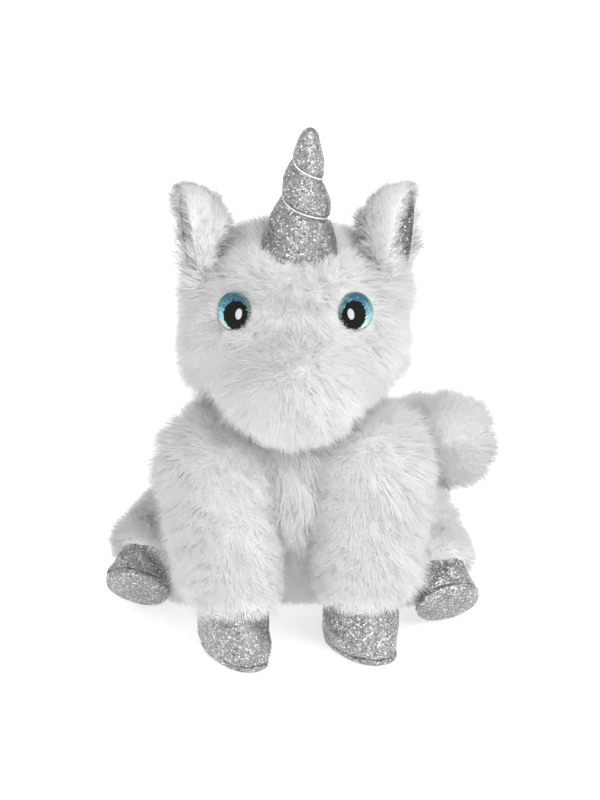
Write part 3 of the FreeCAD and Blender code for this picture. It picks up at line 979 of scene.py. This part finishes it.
def patch(name, side, layer, out, lift, rise, spread=1.0, ragged=0.0, seed=0, higher=0.0):
    """A stitched oval that follows the eye's crown; its edge can be ragged, as stitching is."""
    iris = plate_frame("eye_iris_" + side)
    centre, (long_axis, _, normal), (half_long, half_short, _) = \
        plate_frame("eye_%s_%s" % (layer, side))
    if normal @ out < 0:
        normal = -normal
    short_axis = np.cross(normal, long_axis)
    centre = centre - normal * (normal @ (centre - iris[0]))
    centre = centre + unit(UP - normal * normal[2]) * higher
    rng = np.random.default_rng(seed)
    around, rings = 90, 10
    rough = ragged * rng.normal(size=around)
    angle = np.linspace(0, 2 * math.pi, around, endpoint=False)[:, None]
    verts = []
    for share in np.linspace(0, 1, rings):
        radius = max(math.sin(share * math.pi / 2), 0.004)
        factor = spread * radius * (1 + rough[:, None] * radius ** 6)
        arm = long_axis * half_long * np.cos(angle) + short_axis * half_short * np.sin(angle)
        spots = centre + arm * factor
        level = crowned(spots, iris) + lift + rise * math.cos(share * math.pi / 2)
        verts.append(spots + normal * level[:, None])
    verts.append(verts[-1] - normal * 1.0 * MM)
    faces = [tuple(reversed(face)) for face in tube_faces(rings + 1, around)]
    return new_object(name, np.concatenate(verts), faces)


def eyes(side, sign):
    """Outline, foil iris, black pupil and white highlight, each stitched over the last."""
    out = np.array((sign, -1.0, 0.5))
    outline_patch = patch("eye_outline_" + side, side, "iris", out, 0.3 * MM, 0)
    dress(outline_patch, "head", IRIS_EDGE, "iris_teal")
    foil = patch("eye_foil_" + side, side, "iris", out, 0.55 * MM, 0.2 * MM, spread=0.91)
    dress(foil, "head", IRIS, "iris_teal", "eye_iris_" + side)
    pupil = patch("eye_satin_" + side, side, "pupil", out, 0.8 * MM, 0.6 * MM, spread=0.96,
                  ragged=0.05, seed=3, higher=0.6 * MM)
    dress(pupil, "head", PUPIL, "pupil_black", "eye_pupil_" + side)
    shine = patch("eye_shine_" + side, side, "highlight", out, 1.35 * MM, 0.4 * MM, spread=0.84,
                  ragged=0.02, seed=4, higher=1.9 * MM)
    dress(shine, "head", HIGHLIGHT, "highlight_white", "eye_highlight_" + side)


for side, sign in SIDE_SIGNS:
    eyes(side, sign)


# ---------------------------------------------------------------- ears

for side, sign in SIDE_SIGNS:
    finish_cad("ear_lining_" + side, GLITTER)
    ear = cloth_skin("ear_cover_" + side, ["ear_back_" + side], 1.2 * MM, 3, pressure=0.3,
                     most=0.5 * MM)
    skins["ear_" + side] = dress(ear, "ear_" + side, BACKING, "white_plush", "ear_back_" + side)


# ---------------------------------------------------------------- hidden parts

for node, item in NODES.items():
    if node.endswith("_stuffing") and node != "neck_stuffing":
        finish_cad(node, STUFFING)
finish_cad("bean_pouch", lining_material())
finish_cad("bean_pellets", pellet_material())
finish_cad("closing_stitches", WHITE_THREAD)
finish_cad("neck_seam_thread", WHITE_THREAD)


# ---------------------------------------------------------------- pile on each part

HEAD_LOW, HEAD_HIGH = box_of(*HEAD_NODES)
TORSO_LOW, TORSO_HIGH = box_of(*TORSO_NODES)
EAR_FEET = []
EYES = {}
for side, sign in SIDE_SIGNS:
    EAR_FEET.append(pivot("ear_%s_flop" % side) - np.array((sign * 16, 0, 4)) * MM)
    EYES[side] = plate_frame("eye_iris_" + side)


def brushed(x, y, z):
    """A brush direction that is the same everywhere."""
    direction = np.array((x, y, z), float)
    return lambda points: np.tile(direction, (len(points), 1))


def from_point(centre):
    """Brushed away from a point."""
    return lambda points: unit(points - centre)


def even(value):
    """The same length everywhere."""
    return lambda points: np.full(len(points), float(value))


def distance_to(points, tree):
    """Distance of each point to the tree's nearest surface."""
    return np.array([tree.find_nearest(Vector(point))[3] for point in points])


def shorter_near(length, tree, shortest, reach):
    """Pile of this length, cut shorter within reach of the tree's surfaces."""
    def cropped(points):
        share = np.clip(distance_to(points, tree) / reach, 0, 1)
        return shortest + (length(points) - shortest) * share ** 0.8
    return cropped


def off_the_floor(points, normals):
    """No pile grows under the toy, where it rests."""
    return (points[:, 2] > 2.5 * MM) | (normals[:, 2] > -0.7)


def eye_distance(points):
    """Distance outside the rim of the nearer eye, as a share of the eye's size (0 on the rim)."""
    nearest_rim = np.full(len(points), 9.0)
    for centre, (long_axis, short_axis, _), (half_long, half_short, _) in EYES.values():
        offset = points - centre
        flat = np.hypot(offset @ long_axis / half_long, offset @ short_axis / half_short)
        near = np.linalg.norm(offset, axis=1) < 3 * half_long
        nearest_rim = np.where(near, np.minimum(nearest_rim, flat - 1), nearest_rim)
    return nearest_rim


def face_length(points):
    """Long pile on the head, longest on the jowls and by the ears, and cropped round the eyes."""
    cheek = np.clip(np.abs(points[:, 0]) / HEAD_HIGH[0], 0, 1) ** 2
    middle = (HEAD_LOW[2] + HEAD_HIGH[2]) / 2
    jowl = cheek * np.clip((middle - points[:, 2]) / (25 * MM), 0, 1)
    ear_tuft = sum(np.exp(-(np.linalg.norm(points - foot, axis=1) / (13 * MM)) ** 2)
                   for foot in EAR_FEET)
    full = 6.5 + 2.5 * cheek + 8.0 * jowl + 8.0 * ear_tuft
    return 4.5 + full * np.clip(eye_distance(points) / 0.8, 0, 1)


def torso_length(points):
    """Long pile on the body, longest on the shoulders and cropped towards the floor."""
    share = (points[:, 2] - TORSO_LOW[2]) / (TORSO_HIGH[2] - TORSO_LOW[2])
    return 15 * np.clip(0.35 + share * 2.2, 0, 1) + 4 * np.clip((share - 0.6) / 0.3, 0, 1)


def leg_pile_length(limb):
    """Pile on a front leg: shorter on the inner side, so that the legs stay apart."""
    outwards = 1 if limb.endswith("left") else -1
    low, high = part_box(limb + "_sleeve")
    middle = (low[0] + high[0]) / 2
    return lambda points: 11 + 3 * np.clip((points[:, 0] - middle) * outwards / (15 * MM), -1, 1)


def ear_pile_length(side):
    """Pile on an ear's back: long at the foot, short at the tip."""
    low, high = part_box("ear_back_" + side)
    return lambda points: 15 - 9 * (points[:, 2] - low[2]) / (high[2] - low[2])


def face_comb(points):
    """Down and a little outwards; by an eye it parts, but falls over its lower inner edge."""
    outwards = points * (1, 0, 0) / HEAD_HIGH[0]
    flow = outwards * 0.5 - UP
    for side, sign in SIDE_SIGNS:
        centre, _, (half_long, _, _) = EYES[side]
        offset = points - centre
        reach = np.linalg.norm(offset, axis=1, keepdims=True)
        closeness = np.clip(1 - (reach - half_long) / (8 * MM), 0, 1)
        lower_inner = unit(offset) @ unit(np.array((-0.5 * sign, 0, -0.85)))
        over = np.clip(lower_inner * 2, 0, 1)[:, None]
        flow = flow + unit(offset) * closeness * (1.6 - 3.4 * over)
    return flow


def outside_eyes(points, normals):
    """Roots go a little way under each eye's rim."""
    return eye_distance(points) > -0.08


def clear_of(tree, gap):
    """Keep roots this far from the tree's surfaces, and off the floor."""
    return lambda points, normals: off_the_floor(points, normals) & (distance_to(points, tree) > gap)


horn_tree = tree_of(horn)
torso_tree = tree_of(skins["torso"])
limb_skins = [skins[limb] for limb in LIMBS]

grow("torso_pile", "torso", skins["torso"], brushed(0, 0, -1), torso_length, seed=11, density=2.2,
     keep=off_the_floor, obstacles=tree_of(skins["head"], *limb_skins, skins["tail"]))
grow("head_pile", "head", skins["head"], face_comb,
     shorter_near(face_length, horn_tree, 6, 12 * MM), seed=12, density=3.4,
     keep=outside_eyes, obstacles=tree_of(skins["torso"], horn))
grow("neck_pile", "neck", skins["neck"], brushed(0, 0, -1), even(15), seed=13, density=2.0)
for number, limb in enumerate(LIMBS):
    front = limb.startswith("front")
    comb = brushed(0, -0.2, -1) if front else brushed(0, -0.3, -0.5)
    full = leg_pile_length(limb) if front else even(9)
    boot = tree_of(*hooves[limb])
    grow(limb + "_pile", limb, skins[limb], comb, shorter_near(full, boot, 7, 14 * MM),
         seed=20 + number, density=2.9, keep=clear_of(boot, 1.4 * MM), obstacles=torso_tree)
grow("tail_pile", "tail", skins["tail"], from_point(pivot("tail_wag")), even(11), seed=31,
     obstacles=torso_tree)
for number, (side, sign) in enumerate(SIDE_SIGNS):
    ear = "ear_" + side
    grow(ear + "_pile", ear, skins[ear], brushed(sign * 0.2, 0, 1), ear_pile_length(side),
         seed=41 + number, density=3.6, stand=0.6, obstacles=tree_of(NODES["ear_lining_" + side]),
         shortest=1.0)
